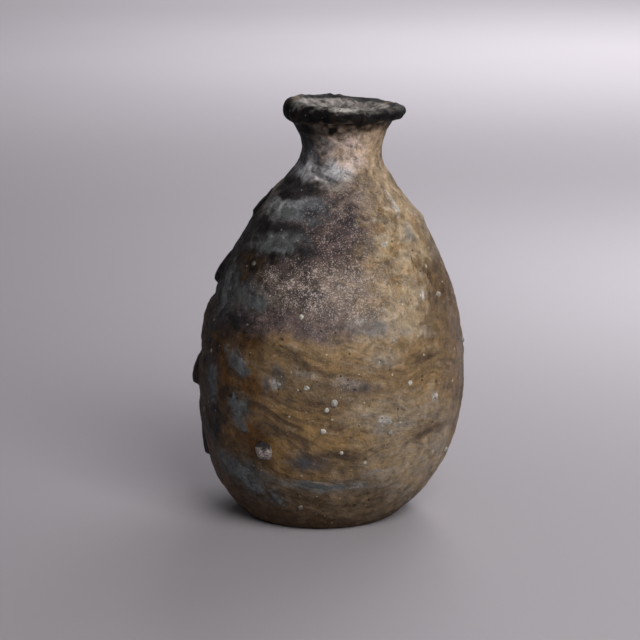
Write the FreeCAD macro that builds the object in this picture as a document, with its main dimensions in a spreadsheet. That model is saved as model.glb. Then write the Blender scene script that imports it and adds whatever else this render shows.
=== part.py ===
import FreeCAD, Part
import math
import os

import Sketcher
from FreeCAD import Placement, Rotation, Vector

# A wood-fired stoneware sake bottle. It was built from a slab, two wall sections, a neck and a rim,
# joined while the clay was soft, and it leans a little to one side. Millimetres, +Z up, the origin at
# the centre of the foot. The bottle's own axis passes through the origin and leans towards +X.
# In every outline x is the distance from that axis and y the height along it.

DRIVING_SIZES = {
    "lean_angle": 3.3,
    # Outside: tangent arcs from the foot to the neck, then the rolled lip.
    "belly_radius": 70.5,
    "belly_height": 71.0,
    "foot_curve": 88.0,
    "foot_curve_angle": 17.0,
    "lower_curve": 112.0,
    "shoulder_curve": 157.5,
    "neck_radius": 20.4,
    "neck_height": 195.5,
    "neck_curve": 20.7,
    "lip_radius": 31.3,
    "lip_height": 214.4,
    "lip_roll": 4.3,
    # Inside: the wall's thickness, the throat, and the flared mouth above it.
    "wall": 6.0,
    "slab_thickness": 8.0,
    "throat_radius": 14.0,
    "flare_height": 205.0,
    "flare_curve": 13.0,
    "flare_angle": 70.0,
    # Seams between the clay sections: the height where each would cross the axis, and its bevel.
    "belly_seam_height": 122.0,
    "belly_seam_bevel": -15.0,
    "neck_seam_height": 163.0,
    "neck_seam_bevel": 26.0,
    "rim_seam_height": 209.5,
    "rim_seam_bevel": -12.0,
    # How far the forms and tools run past what they trim.
    "overrun": 8.0,
    "reach": 90.0,
    "mouth_clearance": 222.0,
    # Stones in the clay and deposits left by the firing.
    "grain_radius": 1.45,
    "glaze_thickness": 0.8,
    "crust_thickness": 1.4,
    "crust_reach": 16.0,
    "crust_length": 18.0,
    "crust_breadth": 14.0,
    "lump_width": 16.0,
    "lump_tallness": 22.0,
    "lump_proud": 3.2,
    "flame_radius": 60.0,
    "flame_height": 84.0,
    "flame_azimuth": -60.0,
    "pebble_width": 9.6,
    "pebble_tallness": 11.0,
    "pebble_depth": 6.4,
    "pebble_height": 46.0,
    "pebble_azimuth": -118.0,
}

# Feldspar grains in the clay: height on the axis, azimuth, and size beside the sheet's grain_radius.
# Azimuth 0 is +X and -90 is the front.
FELDSPAR_GRAINS = [
    (117, -105, 0.9), (153, -61, 1.0), (83, -112, 0.9), (83, -100, 1.0), (86, -56, 1.0),
    (76, -88, 1.3), (72, -91, 0.9), (61, -92, 1.1), (76, -40, 1.0), (50, -84, 0.8),
    (66, -64, 0.9), (60, -63, 1.0), (15, -102, 1.0), (97, -70, 0.8), (126, -30, 1.0),
    (41, -18, 1.1), (98, -8, 0.9), (66, 16, 1.2), (140, 30, 0.9), (34, 48, 1.0),
    (112, 64, 1.1), (70, 92, 1.0), (128, 118, 1.0), (48, 134, 1.2), (90, 158, 1.0),
    (24, 176, 0.9), (56, -160, 1.0), (138, -140, 0.9),
]

# Crusts of grey ash: height, azimuth, length and breadth beside the sheet's own, and the angle from
# upright to the crust's length, turning to the left as seen from outside.
GREY_CRUSTS = [
    (29, -135, 2.2, 1.0, 60), (64, -133, 1.0, 0.9, 20), (73, -150, 1.3, 0.8, 5),
    (89, -134, 1.1, 0.6, 65), (121, -131, 1.3, 0.5, 85), (122, -158, 1.4, 0.8, 10),
    (149, -131, 1.0, 0.7, 90), (165, -133, 1.0, 0.6, 90), (30, -90, 1.7, 0.4, 90),
    (58, 160, 1.5, 1.2, 30), (94, 146, 1.2, 1.0, 80), (134, 150, 1.0, 0.8, 20),
]

# Lumps of melted kiln crumb: height, azimuth, then width, tallness and depth beside the sheet's own.
KILN_LUMPS = [
    (72, 180, 1.0, 0.9, 1.0), (129, 178, 1.0, 1.0, 0.8), (164, 177, 0.9, 1.0, 0.5),
    (36, 178, 0.9, 1.2, 0.6),
]

# A sketch's own names for the ends of an edge, its origin and its vertical axis.
START = 1
END = 2
CENTRE = 3
ORIGIN = (-1, 1)
VERTICAL_AXIS = -2

document = FreeCAD.newDocument("sake_bottle")
sizes = document.addObject("Spreadsheet::Sheet", "sizes")
for row, (alias, value) in enumerate(DRIVING_SIZES.items(), start=1):
    sizes.set(f"A{row}", alias)
    sizes.set(f"B{row}", str(value))
    sizes.setAlias(f"B{row}", alias)
document.recompute()


def polar(centre, radius, degrees):
    """The point of a circle at an angle."""
    angle = math.radians(degrees)
    return Vector(centre.x + radius * math.cos(angle), centre.y + radius * math.sin(angle), 0)


def angle_at(centre, point):
    return math.degrees(math.atan2(point.y - centre.y, point.x - centre.x))


def arc(centre, radius, start_degrees, end_degrees):
    circle = Part.Circle(centre, Vector(0, 0, 1), radius)
    return Part.ArcOfCircle(circle, math.radians(start_degrees), math.radians(end_degrees))


# Centres of the arcs. The inside and the glaze share them, so every layer is evenly thick.
lower_centre = Vector(sizes.belly_radius - sizes.lower_curve, sizes.belly_height, 0)
foot_centre = polar(lower_centre, sizes.lower_curve - sizes.foot_curve, -sizes.foot_curve_angle)
shoulder_centre = Vector(sizes.belly_radius - sizes.shoulder_curve, sizes.belly_height, 0)
neck_centre = Vector(sizes.neck_radius + sizes.neck_curve, sizes.neck_height, 0)
lip_centre = Vector(sizes.lip_radius - sizes.lip_roll, sizes.lip_height, 0)

# The straight slope between the shoulder's arc and the neck's leaves both at this angle.
apart = neck_centre.distanceToPoint(shoulder_centre)
slope_angle = angle_at(shoulder_centre, neck_centre) - math.degrees(
    math.acos((sizes.shoulder_curve + sizes.neck_curve) / apart))


def outer_radius(height):
    """Radius of the outside at a height on the axis, from the foot to the top of the shoulder."""
    if height > sizes.belly_height:
        centre, curve = shoulder_centre, sizes.shoulder_curve
    elif height > foot_centre.y - sizes.foot_curve * math.sin(math.radians(sizes.foot_curve_angle)):
        centre, curve = lower_centre, sizes.lower_curve
    else:
        centre, curve = foot_centre, sizes.foot_curve
    return centre.x + math.sqrt(curve ** 2 - (height - centre.y) ** 2)


def surface_normal(height):
    """Angle above the horizontal of the outside's normal at a height on the axis."""
    centre = shoulder_centre if height > sizes.belly_height else lower_centre
    return angle_at(centre, Vector(outer_radius(height), height, 0))


def lean_with_bottle(item):
    """Tip an object that is drawn upright so that it follows the bottle's axis."""
    item.Placement = Placement(Vector(), Rotation(Vector(0, 1, 0), sizes.lean_angle))
    item.setExpression("Placement.Rotation.Angle", "sizes.lean_angle")


def set_on_surface(item, height, azimuth, sink):
    """Place an object on the outside, its own X pointing out of the clay, sunk in by a depth."""
    upright = Rotation(Vector(0, 0, 1), azimuth)
    outward = upright * Rotation(Vector(0, 1, 0), -surface_normal(height))
    foot = upright.multVec(Vector(outer_radius(height), 0, height))
    spot = foot - outward.multVec(Vector(sink, 0, 0))
    lean = Placement(Vector(), Rotation(Vector(0, 1, 0), sizes.lean_angle))
    item.Placement = lean * Placement(spot, outward)


class Outline:
    """A closed sketch on its own body's XZ plane, with every size bound to the sheet."""

    def __init__(self, name):
        self.body = document.addObject("PartDesign::Body", name)
        self.sketch = self.body.newObject("Sketcher::SketchObject", name + "_outline")
        planes = self.body.Origin.OriginFeatures
        self.sketch.AttachmentSupport = [(next(p for p in planes if p.Role == "XZ_Plane"), "")]
        self.sketch.MapMode = "FlatFace"

    def edge(self, geometry):
        return self.sketch.addGeometry(geometry, False)

    def line(self, start, end):
        return self.edge(Part.LineSegment(start, end))

    def rule(self, *arguments):
        return self.sketch.addConstraint(Sketcher.Constraint(*arguments))

    def size(self, name, expression, *arguments):
        """Add a measure with its present value, then bind it to the sheet."""
        self.sketch.renameConstraint(self.rule(*arguments), name)
        self.sketch.setExpression("Constraints." + name, expression)

    def centre(self, name, edge, point, across, height):
        """Hold an arc's centre at a point, given as two sheet expressions."""
        self.size(name + "_across", across, "DistanceX", *ORIGIN, edge, CENTRE, point.x)
        self.size(name + "_height", height, "DistanceY", *ORIGIN, edge, CENTRE, point.y)

    def revolve(self):
        turn = self.body.newObject("PartDesign::Revolution", self.body.Name + "_turn")
        turn.Profile = self.sketch
        turn.ReferenceAxis = (self.sketch, ["V_Axis"])
        turn.Angle = 360
        lean_with_bottle(self.body)
        return self.body


def wall_arcs(outline, offset, layer):
    """The foot's, lower wall's and shoulder's arcs, an offset outside the clay's own surface.

    layer is the offset as the sheet's expression, with its sign. Returns the three edges.
    """
    foot_curve = sizes.foot_curve + offset
    lower_curve = sizes.lower_curve + offset
    shoulder_curve = sizes.shoulder_curve + offset
    join_angle = -sizes.foot_curve_angle
    bottom_angle = -math.degrees(math.asin((foot_centre.y + sizes.overrun) / foot_curve))
    foot = outline.edge(arc(foot_centre, foot_curve, bottom_angle, join_angle))
    lower = outline.edge(arc(lower_centre, lower_curve, join_angle, 0))
    shoulder = outline.edge(arc(shoulder_centre, shoulder_curve, 0, slope_angle))
    outline.rule("Tangent", foot, END, lower, START)
    outline.rule("Coincident", lower, END, shoulder, START)
    outline.rule("Horizontal", lower, CENTRE, lower, END)
    outline.rule("Horizontal", shoulder, CENTRE, lower, CENTRE)
    outline.size("foot_curve", "sizes.foot_curve" + layer, "Radius", foot, foot_curve)
    outline.size("lower_curve", "sizes.lower_curve" + layer, "Radius", lower, lower_curve)
    outline.size("shoulder_curve", "sizes.shoulder_curve" + layer, "Radius", shoulder, shoulder_curve)
    outline.size("belly_height", "sizes.belly_height",
                 "DistanceY", *ORIGIN, lower, CENTRE, sizes.belly_height)
    outline.size("belly_radius", "sizes.belly_radius" + layer,
                 "DistanceX", *ORIGIN, lower, END, sizes.belly_radius + offset)
    outline.size("foot_join", f"(sizes.lower_curve{layer}) * sin(sizes.foot_curve_angle * 1deg)",
                 "DistanceY", lower, START, lower, CENTRE,
                 -polar(Vector(), lower_curve, join_angle).y)
    return foot, lower, shoulder


def close_on_axis(outline, first, last, top):
    """Close an outline with its floor, the axis and its roof, from its first edge round to its last."""
    bottom = Vector(0, -sizes.overrun, 0)
    floor = outline.line(bottom, outline.sketch.Geometry[first].StartPoint)
    roof = outline.line(top, Vector(0, top.y, 0))
    axis = outline.line(Vector(0, top.y, 0), bottom)
    outline.rule("Coincident", floor, END, first, START)
    outline.rule("Coincident", roof, START, last, END)
    outline.rule("Coincident", roof, END, axis, START)
    outline.rule("Coincident", axis, END, floor, START)
    outline.rule("Horizontal", floor)
    outline.rule("Horizontal", roof)
    outline.rule("PointOnObject", axis, START, VERTICAL_AXIS)
    outline.rule("PointOnObject", axis, END, VERTICAL_AXIS)
    outline.size("overrun", "sizes.overrun", "DistanceY", floor, START, *ORIGIN, sizes.overrun)
    return roof


def outside_form(name, thickness=None):
    """The bottle as one solid: the clay's own outside, or that of a deposit of some thickness on it."""
    offset = getattr(sizes, thickness) if thickness else 0.0
    grown = f" + sizes.{thickness}" if thickness else ""
    outline = Outline(name)
    foot, _, shoulder = wall_arcs(outline, offset, grown)
    neck_curve = sizes.neck_curve - offset
    lip_roll = sizes.lip_roll + offset
    # The underside of the lip starts where its roll crosses the neck's curve.
    span = neck_centre.distanceToPoint(lip_centre)
    along = (span ** 2 + neck_curve ** 2 - lip_roll ** 2) / (2 * span)
    cross_angle = angle_at(neck_centre, lip_centre) + math.degrees(math.acos(along / neck_curve))
    cross = polar(neck_centre, neck_curve, cross_angle)
    slope = outline.line(polar(shoulder_centre, sizes.shoulder_curve + offset, slope_angle),
                         polar(neck_centre, neck_curve, slope_angle + 180))
    neck = outline.edge(arc(neck_centre, neck_curve, cross_angle, slope_angle + 180))
    lip = outline.edge(arc(lip_centre, lip_roll, angle_at(lip_centre, cross), 90))
    outline.rule("Tangent", shoulder, END, slope, START)
    outline.rule("Tangent", slope, END, neck, END)
    outline.rule("Coincident", neck, START, lip, START)
    outline.rule("Vertical", lip, CENTRE, lip, END)
    outline.size("neck_curve", "sizes.neck_curve" + grown.replace("+", "-"), "Radius", neck, neck_curve)
    outline.centre("neck_centre", neck, neck_centre, "sizes.neck_radius + sizes.neck_curve",
                   "sizes.neck_height")
    outline.size("lip_roll", "sizes.lip_roll" + grown, "Radius", lip, lip_roll)
    outline.centre("lip_centre", lip, lip_centre, "sizes.lip_radius - sizes.lip_roll",
                   "sizes.lip_height")
    close_on_axis(outline, foot, lip, polar(lip_centre, lip_roll, 90))
    return outline.revolve()


def inside_form(name):
    """The hollow as one solid: the wall's arcs moved in, the straight throat and the flared mouth."""
    outline = Outline(name)
    foot, _, shoulder = wall_arcs(outline, -sizes.wall, " - sizes.wall")
    flare_centre = Vector(sizes.throat_radius + sizes.flare_curve, sizes.flare_height, 0)
    shoulder_end = polar(shoulder_centre, sizes.shoulder_curve - sizes.wall, slope_angle)
    slope_run = (shoulder_end.x - sizes.throat_radius) / math.sin(math.radians(slope_angle))
    throat_start = polar(shoulder_end, slope_run, slope_angle + 90)
    flare_start = polar(flare_centre, sizes.flare_curve, 180)
    flare_end = polar(flare_centre, sizes.flare_curve, 180 - sizes.flare_angle)
    mouth_run = (sizes.mouth_clearance - flare_end.y) / math.cos(math.radians(sizes.flare_angle))
    mouth_end = polar(flare_end, mouth_run, 90 - sizes.flare_angle)
    slope = outline.line(shoulder_end, throat_start)
    throat = outline.line(throat_start, flare_start)
    flare = outline.edge(arc(flare_centre, sizes.flare_curve, 180 - sizes.flare_angle, 180))
    mouth = outline.line(flare_end, mouth_end)
    # The slope runs beside the outside's own, so it touches a circle round the neck's centre.
    inner_neck_curve = sizes.neck_curve + sizes.wall
    guide = outline.sketch.addGeometry(Part.Circle(neck_centre, Vector(0, 0, 1), inner_neck_curve), True)
    outline.size("neck_guide", "sizes.neck_curve + sizes.wall", "Radius", guide, inner_neck_curve)
    outline.centre("neck_centre", guide, neck_centre, "sizes.neck_radius + sizes.neck_curve",
                   "sizes.neck_height")
    outline.rule("Tangent", slope, guide)
    outline.rule("Tangent", shoulder, END, slope, START)
    outline.rule("Coincident", slope, END, throat, START)
    outline.rule("Vertical", throat)
    outline.rule("Tangent", throat, END, flare, END)
    outline.rule("Tangent", flare, START, mouth, START)
    outline.size("flare_curve", "sizes.flare_curve", "Radius", flare, sizes.flare_curve)
    outline.centre("flare_centre", flare, flare_centre, "sizes.throat_radius + sizes.flare_curve",
                   "sizes.flare_height")
    outline.size("flare_slant", "(90 - sizes.flare_angle) * 1deg",
                 "Angle", mouth, math.radians(90 - sizes.flare_angle))
    outline.size("mouth_clearance", "sizes.mouth_clearance",
                 "DistanceY", *ORIGIN, mouth, END, sizes.mouth_clearance)
    close_on_axis(outline, foot, mouth, mouth_end)
    return outline.revolve()


def below_seam(seam):
    """Everything under a seam's cone, which crosses the axis at its height and rises by its bevel."""
    height = getattr(sizes, seam + "_height")
    bevel = getattr(sizes, seam + "_bevel")
    outline = Outline("below_" + seam)
    bottom = -sizes.overrun
    rim_height = height + sizes.reach * math.tan(math.radians(bevel))
    base = outline.line(Vector(0, bottom, 0), Vector(sizes.reach, bottom, 0))
    side = outline.line(Vector(sizes.reach, bottom, 0), Vector(sizes.reach, rim_height, 0))
    cone = outline.line(Vector(sizes.reach, rim_height, 0), Vector(0, height, 0))
    axis = outline.line(Vector(0, height, 0), Vector(0, bottom, 0))
    for before, after in ((base, side), (side, cone), (cone, axis), (axis, base)):
        outline.rule("Coincident", before, END, after, START)
    outline.rule("Horizontal", base)
    outline.rule("Vertical", side)
    outline.rule("PointOnObject", axis, START, VERTICAL_AXIS)
    outline.rule("PointOnObject", axis, END, VERTICAL_AXIS)
    outline.size("overrun", "sizes.overrun", "DistanceY", base, START, *ORIGIN, sizes.overrun)
    outline.size("reach", "sizes.reach", "DistanceX", *ORIGIN, base, END, sizes.reach)
    outline.size("height", f"sizes.{seam}_height", "DistanceY", *ORIGIN, cone, END, height)
    outline.size("bevel", f"sizes.{seam}_bevel * 1deg + 180deg",
                 "Angle", cone, math.radians(180 + bevel))
    return outline.revolve()


def cut(name, base, tool):
    item = document.addObject("Part::Cut", name)
    item.Base = base
    item.Tool = tool
    return item


def common(name, base, tool):
    item = document.addObject("Part::Common", name)
    item.Base = base
    item.Tool = tool
    return item


def compound(name, members):
    item = document.addObject("Part::Compound", name)
    item.Links = members
    return item


def ellipsoid(name, outward, across, upward):
    """An ellipsoid whose half sizes are sheet expressions; Part counts its radii from its own Z."""
    item = document.addObject("Part::Ellipsoid", name)
    item.setExpression("Radius1", upward)
    item.setExpression("Radius2", outward)
    item.setExpression("Radius3", across)
    return item


def level_box(name, bottom, height):
    """A box round the whole bottle, level with the ground; its height is a sheet expression."""
    item = document.addObject("Part::Box", name)
    item.Placement.Base = Vector(-sizes.reach, -sizes.reach, bottom)
    item.setExpression("Length", "2 * sizes.reach")
    item.setExpression("Width", "2 * sizes.reach")
    item.setExpression("Height", height)
    return item


def feldspar_grains():
    """White grains of the clay itself, each bedded in the wall past its middle."""
    grains = []
    for number, (height, azimuth, scale) in enumerate(FELDSPAR_GRAINS, start=1):
        grain = document.addObject("Part::Sphere", f"grain_{number}")
        grain.setExpression("Radius", f"{scale} * sizes.grain_radius")
        set_on_surface(grain, height, azimuth, 0.3 * scale * sizes.grain_radius)
        grains.append(grain)
    return compound("feldspar_grains", grains)


def fused_pebble():
    """A pebble that stuck to the soft glaze, bedded in the wall by half its depth."""
    pebble = ellipsoid("fused_pebble", "sizes.pebble_depth / 2", "sizes.pebble_width / 2",
                       "sizes.pebble_tallness / 2")
    set_on_surface(pebble, sizes.pebble_height, sizes.pebble_azimuth, 0)
    return pebble


def kiln_lumps(clay):
    """Crumb from the kiln that melted on to the wall, each lump standing out by half its depth."""
    lumps = []
    for number, (height, azimuth, width, tallness, depth) in enumerate(KILN_LUMPS, start=1):
        lump = ellipsoid(f"lump_{number}", f"{2 * depth} * sizes.lump_proud",
                         f"{width / 2} * sizes.lump_width", f"{tallness / 2} * sizes.lump_tallness")
        set_on_surface(lump, height, azimuth, depth * sizes.lump_proud)
        lumps.append(lump)
    return cut("kiln_lumps", compound("lump_forms", lumps), clay)


def deposit(name, thickness, zone, clay, through):
    """A skin on the clay inside a zone, cut away where other things come through it."""
    skin = cut(name + "_skin", outside_form(name + "_form", thickness), clay)
    return cut(name, common(name + "_in_zone", skin, zone), through)


def flame_zone():
    """The round beam of flame that carried the ash on to one side of the bottle."""
    zone = document.addObject("Part::Cylinder", "flame")
    zone.setExpression("Radius", "sizes.flame_radius")
    zone.setExpression("Height", "sizes.reach")
    towards = Rotation(Vector(0, 0, 1), sizes.flame_azimuth) * Rotation(Vector(0, 1, 0), 90)
    zone.Placement = Placement(Vector(0, 0, sizes.flame_height), towards)
    return zone


def crust_zones():
    """Elliptical columns through the wall, each as long and broad as the crust that it marks out."""
    zones = []
    facing_out = Placement(Vector(), Rotation(Vector(0, 1, 0), 90))
    for number, (height, azimuth, length, breadth, turn) in enumerate(GREY_CRUSTS, start=1):
        edge = document.addObject("Part::Ellipse", f"crust_edge_{number}")
        edge.setExpression("MajorRadius", f"{length / 2} * sizes.crust_length")
        edge.setExpression("MinorRadius", f"{breadth / 2} * sizes.crust_breadth")
        set_on_surface(edge, height, azimuth, 0)
        turned = Placement(Vector(), Rotation(Vector(0, 0, 1), turn))
        edge.Placement = edge.Placement * facing_out * turned
        zone = document.addObject("Part::Extrusion", f"crust_zone_{number}")
        zone.Base = edge
        zone.DirMode = "Normal"
        zone.Symmetric = True
        zone.Solid = True
        zone.setExpression("LengthFwd", "sizes.crust_reach")
        zones.append(zone)
    return compound("crust_zones", zones)


# The clay: the outside stood on its foot, less the hollow, with seats for what is bedded in it.
ground = level_box("ground", -sizes.overrun - sizes.slab_thickness, "sizes.overrun + sizes.slab_thickness")
slab_zone = level_box("slab_zone", 0, "sizes.slab_thickness")
clay = cut("clay", outside_form("outer_form"), ground)
grains = feldspar_grains()
pebble = fused_pebble()
bedded = compound("bedded_stones", [grains, pebble])
hollow_clay = cut("hollow_clay", clay, inside_form("inner_form"))
seated_clay = cut("seated_clay", hollow_clay, bedded)
walls = cut("walls", seated_clay, slab_zone)

# The clay's five sections, from the bottom up.
below_belly = below_seam("belly_seam")
below_neck = below_seam("neck_seam")
below_rim = below_seam("rim_seam")
base_slab = common("base_slab", clay, slab_zone)
lower_wall = common("lower_wall", walls, below_belly)
above_belly = cut("above_belly", walls, below_belly)
upper_wall = common("upper_wall", above_belly, below_neck)
above_neck = cut("above_neck", above_belly, below_neck)
neck = common("neck", above_neck, below_rim)
mouth_rim = cut("mouth_rim", above_neck, below_rim)

# What the firing left on the clay.
lumps = kiln_lumps(clay)
crust_columns = crust_zones()
crusts = deposit("grey_ash_crusts", "crust_thickness", crust_columns, clay, bedded)
glaze = deposit("ash_glaze", "glaze_thickness", flame_zone(), clay,
                compound("through_glaze", [bedded, crust_columns]))

document.recompute()

nodes = [base_slab, lower_wall, upper_wall, neck, mouth_rim, glaze, crusts, grains, pebble, lumps]
for item in document.Objects:
    if "Invalid" in item.State or "Error" in item.State:
        raise RuntimeError(f"{item.Label} failed to recompute: {item.State}")
for node in nodes:
    if node.Shape.isNull() or not node.Shape.isValid() or not node.Shape.Solids:
        raise RuntimeError(f"{node.Label} is not a valid solid")

os.makedirs("parts", exist_ok=True)
for node in nodes:
    node.Shape.exportStep(f"parts/{node.Label}.step")
    box = node.Shape.optimalBoundingBox()
    print(f"{node.Label:18} {len(node.Shape.Solids):3} solids {node.Shape.Volume / 1000:9.3f} cm3 "
          f"x {box.XMin:.1f}..{box.XMax:.1f} y {box.YMin:.1f}..{box.YMax:.1f} "
          f"z {box.ZMin:.1f}..{box.ZMax:.1f}")
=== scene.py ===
import math

import bmesh
import bpy
import numpy as np
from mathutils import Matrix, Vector


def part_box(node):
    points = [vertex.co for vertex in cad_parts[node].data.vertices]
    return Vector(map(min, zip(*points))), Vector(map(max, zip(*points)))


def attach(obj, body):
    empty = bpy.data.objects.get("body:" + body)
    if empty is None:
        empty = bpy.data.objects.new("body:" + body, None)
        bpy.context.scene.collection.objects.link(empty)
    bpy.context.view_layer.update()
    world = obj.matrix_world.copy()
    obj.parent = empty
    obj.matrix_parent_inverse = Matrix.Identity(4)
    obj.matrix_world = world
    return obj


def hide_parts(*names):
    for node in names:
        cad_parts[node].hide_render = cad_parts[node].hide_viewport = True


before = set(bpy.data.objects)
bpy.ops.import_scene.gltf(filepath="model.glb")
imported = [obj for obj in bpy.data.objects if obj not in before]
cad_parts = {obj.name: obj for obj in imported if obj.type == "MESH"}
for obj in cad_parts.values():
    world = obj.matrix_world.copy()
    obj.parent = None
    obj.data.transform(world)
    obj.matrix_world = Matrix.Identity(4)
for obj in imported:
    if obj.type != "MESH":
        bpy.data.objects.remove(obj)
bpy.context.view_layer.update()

# Lengths are in millimetres until a mesh is made; the studio at the end is in metres. Heights run along
# the bottle's leaning axis. Azimuths are in degrees: 0 is +X, the bottle's right, and -90 is its front.
MM = 0.001
BODY = "root"
COLUMNS = 640
ROW_STEP = 0.95
LIP_STEP = 0.72
INSIDE_STEP = 3.0
SHARP_ANGLE = math.radians(50)
WELD = 1e-5

# The form: tangent arcs from foot to neck, a rolled lip, and a wall of even thickness.
LEAN = math.radians(3.3)
BEND = 0.9
BEND_HEIGHT = 200.0
BELLY_RADIUS = 70.5
BELLY_HEIGHT = 71.0
FOOT_CURVE = 88.0
FOOT_CURVE_ANGLE = math.radians(17.0)
LOWER_CURVE = 112.0
SHOULDER_CURVE = 157.5
NECK_RADIUS = 20.4
NECK_HEIGHT = 195.5
NECK_CURVE = 20.7
LIP_RADIUS = 31.3
LIP_TOP = 218.7
LIP_ROLL = 4.3
LIP_SAG = 1.9
WALL = 6.0
SLAB = 8.0
THROAT_RADIUS = 14.0
FLARE_HEIGHT = 205.0
FLARE_CURVE = 13.0
LEVEL_UNTIL = 40.0

# Seams between the clay sections, on the outside and on the inside.
BELLY_SEAM = (104.3, 105.7)
NECK_SEAM = (177.2, 174.7)
RIM_SEAM = (204.5, 206.5)


# -------------------- noise

def lattice(cells, seed):
    """A repeatable value from -1 to 1 for every whole-numbered point of space."""
    mixed = (cells[..., 0] * 374761393 + cells[..., 1] * 668265263
             + cells[..., 2] * 1103515245 + seed * 1274126177) & 0xFFFFFFFF
    mixed = ((mixed ^ (mixed >> 13)) * 1274126177) & 0xFFFFFFFF
    mixed = mixed ^ (mixed >> 16)
    return (mixed & 0xFFFF) / 32767.5 - 1.0


def noise(points, size, seed):
    """Smooth noise from about -1 to 1 with features of a size, one number or three."""
    scaled = points / np.asarray(size, float)
    low = np.floor(scaled).astype(np.int64)
    part = scaled - low
    part = part * part * part * (part * (part * 6 - 15) + 10)
    total = np.zeros(points.shape[:-1])
    for corner in np.ndindex(2, 2, 2):
        corner = np.array(corner)
        weight = np.prod(np.where(corner == 1, part, 1 - part), axis=-1)
        total += weight * lattice(low + corner, seed)
    return total


def layered(points, size, seed, layers=3):
    """Noise with finer layers added, each half as large and half as strong."""
    size = np.asarray(size, float)
    total = sum(noise(points, size / 2 ** k, seed + 17 * k) / 2 ** k for k in range(layers))
    return total / (2 - 0.5 ** (layers - 1))


def smooth(value, low, high):
    """0 under low, 1 over high, and an even curve between them."""
    share = np.clip((value - low) / (high - low), 0, 1)
    return share * share * (3 - 2 * share)


# -------------------- outline

LOWER_CENTRE = (BELLY_RADIUS - LOWER_CURVE, BELLY_HEIGHT)
FOOT_CENTRE = (LOWER_CENTRE[0] + (LOWER_CURVE - FOOT_CURVE) * math.cos(FOOT_CURVE_ANGLE),
               LOWER_CENTRE[1] - (LOWER_CURVE - FOOT_CURVE) * math.sin(FOOT_CURVE_ANGLE))
FOOT_JOIN = FOOT_CENTRE[1] - FOOT_CURVE * math.sin(FOOT_CURVE_ANGLE)
SHOULDER_CENTRE = (BELLY_RADIUS - SHOULDER_CURVE, BELLY_HEIGHT)
NECK_CENTRE = (NECK_RADIUS + NECK_CURVE, NECK_HEIGHT)
RISE = (NECK_CENTRE[0] - SHOULDER_CENTRE[0], NECK_CENTRE[1] - SHOULDER_CENTRE[1])
SLOPE_ANGLE = math.atan2(RISE[1], RISE[0]) - math.acos((SHOULDER_CURVE + NECK_CURVE) / math.hypot(*RISE))


def wall_radius(height, offset=0.0):
    """Radius of the wall's surface from the foot to the neck, moved out by an offset."""
    def bulge(centre, curve):
        return centre[0] + np.sqrt(np.maximum((curve + offset) ** 2 - (height - centre[1]) ** 2, 0))

    radius = np.where(height < FOOT_JOIN, bulge(FOOT_CENTRE, FOOT_CURVE), bulge(LOWER_CENTRE, LOWER_CURVE))
    radius = np.where(height > BELLY_HEIGHT, bulge(SHOULDER_CENTRE, SHOULDER_CURVE), radius)
    slope_radius = SHOULDER_CENTRE[0] + (SHOULDER_CURVE + offset) * math.cos(SLOPE_ANGLE)
    slope_height = SHOULDER_CENTRE[1] + (SHOULDER_CURVE + offset) * math.sin(SLOPE_ANGLE)
    slope = slope_radius - (height - slope_height) * math.tan(SLOPE_ANGLE)
    return np.where(height > slope_height, slope, radius)


def outside_radius(height):
    neck_start = NECK_CENTRE[1] - NECK_CURVE * math.sin(SLOPE_ANGLE)
    hollow = np.sqrt(np.maximum(NECK_CURVE ** 2 - (height - NECK_HEIGHT) ** 2, 0))
    return np.where(height > neck_start, NECK_CENTRE[0] - hollow, wall_radius(height))


def inside_radius(height):
    flare = THROAT_RADIUS + FLARE_CURVE - np.sqrt(
        np.maximum(FLARE_CURVE ** 2 - np.maximum(height - FLARE_HEIGHT, 0) ** 2, 0))
    return np.where(height > FLARE_HEIGHT, flare, np.maximum(wall_radius(height, -WALL), THROAT_RADIUS))


# -------------------- the wall's surface

def place(radius, height, azimuth):
    """Points of the leaning bottle, level at the foot, from distances, heights and azimuths."""
    turn = np.radians(azimuth)
    level = 1 - np.clip(height / LEVEL_UNTIL, 0, 1)
    along = height + radius * np.cos(turn) * math.tan(LEAN) * level
    across = radius * np.cos(turn) + BEND * np.sin(np.pi * np.clip(height, 0, BEND_HEIGHT) / BEND_HEIGHT)
    return np.stack([across * math.cos(LEAN) + along * math.sin(LEAN),
                     radius * np.sin(turn) + 0 * height,
                     along * math.cos(LEAN) - across * math.sin(LEAN)], axis=-1)


def resample(points, step):
    """Evenly spaced points along a line of points, both ends kept."""
    points = np.asarray(points, float)
    lengths = np.concatenate([[0], np.cumsum(np.linalg.norm(np.diff(points, axis=0), axis=1))])
    count = max(2, int(round(lengths[-1] / step)) + 1)
    wanted = np.linspace(0, lengths[-1], count)
    return np.stack([np.interp(wanted, lengths, points[:, k]) for k in range(2)], axis=1)


def rise(radius_at, low, high):
    """Closely spaced points of an outline that is given as a radius for every height."""
    heights = np.linspace(low, high, 400)
    return np.stack([radius_at(heights), heights], axis=1)


def turn_round(centre, radius, start, end):
    """Closely spaced points of an arc, its angles in degrees."""
    angles = np.radians(np.linspace(start, end, 60))
    return np.stack([centre[0] + radius * np.cos(angles), centre[1] + radius * np.sin(angles)], axis=1)


def normals_of(grid):
    """The outward normal at every point of a grid of rows round the bottle."""
    around = np.roll(grid, -1, axis=1) - np.roll(grid, 1, axis=1)
    upward = np.gradient(grid, axis=0)
    normal = np.cross(around, upward)
    return normal / np.maximum(np.linalg.norm(normal, axis=-1, keepdims=True), 1e-9)


def angle_between(azimuth, centre):
    """Signed degrees from one azimuth to another, the short way round."""
    return (azimuth - centre + 180) % 360 - 180


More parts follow.
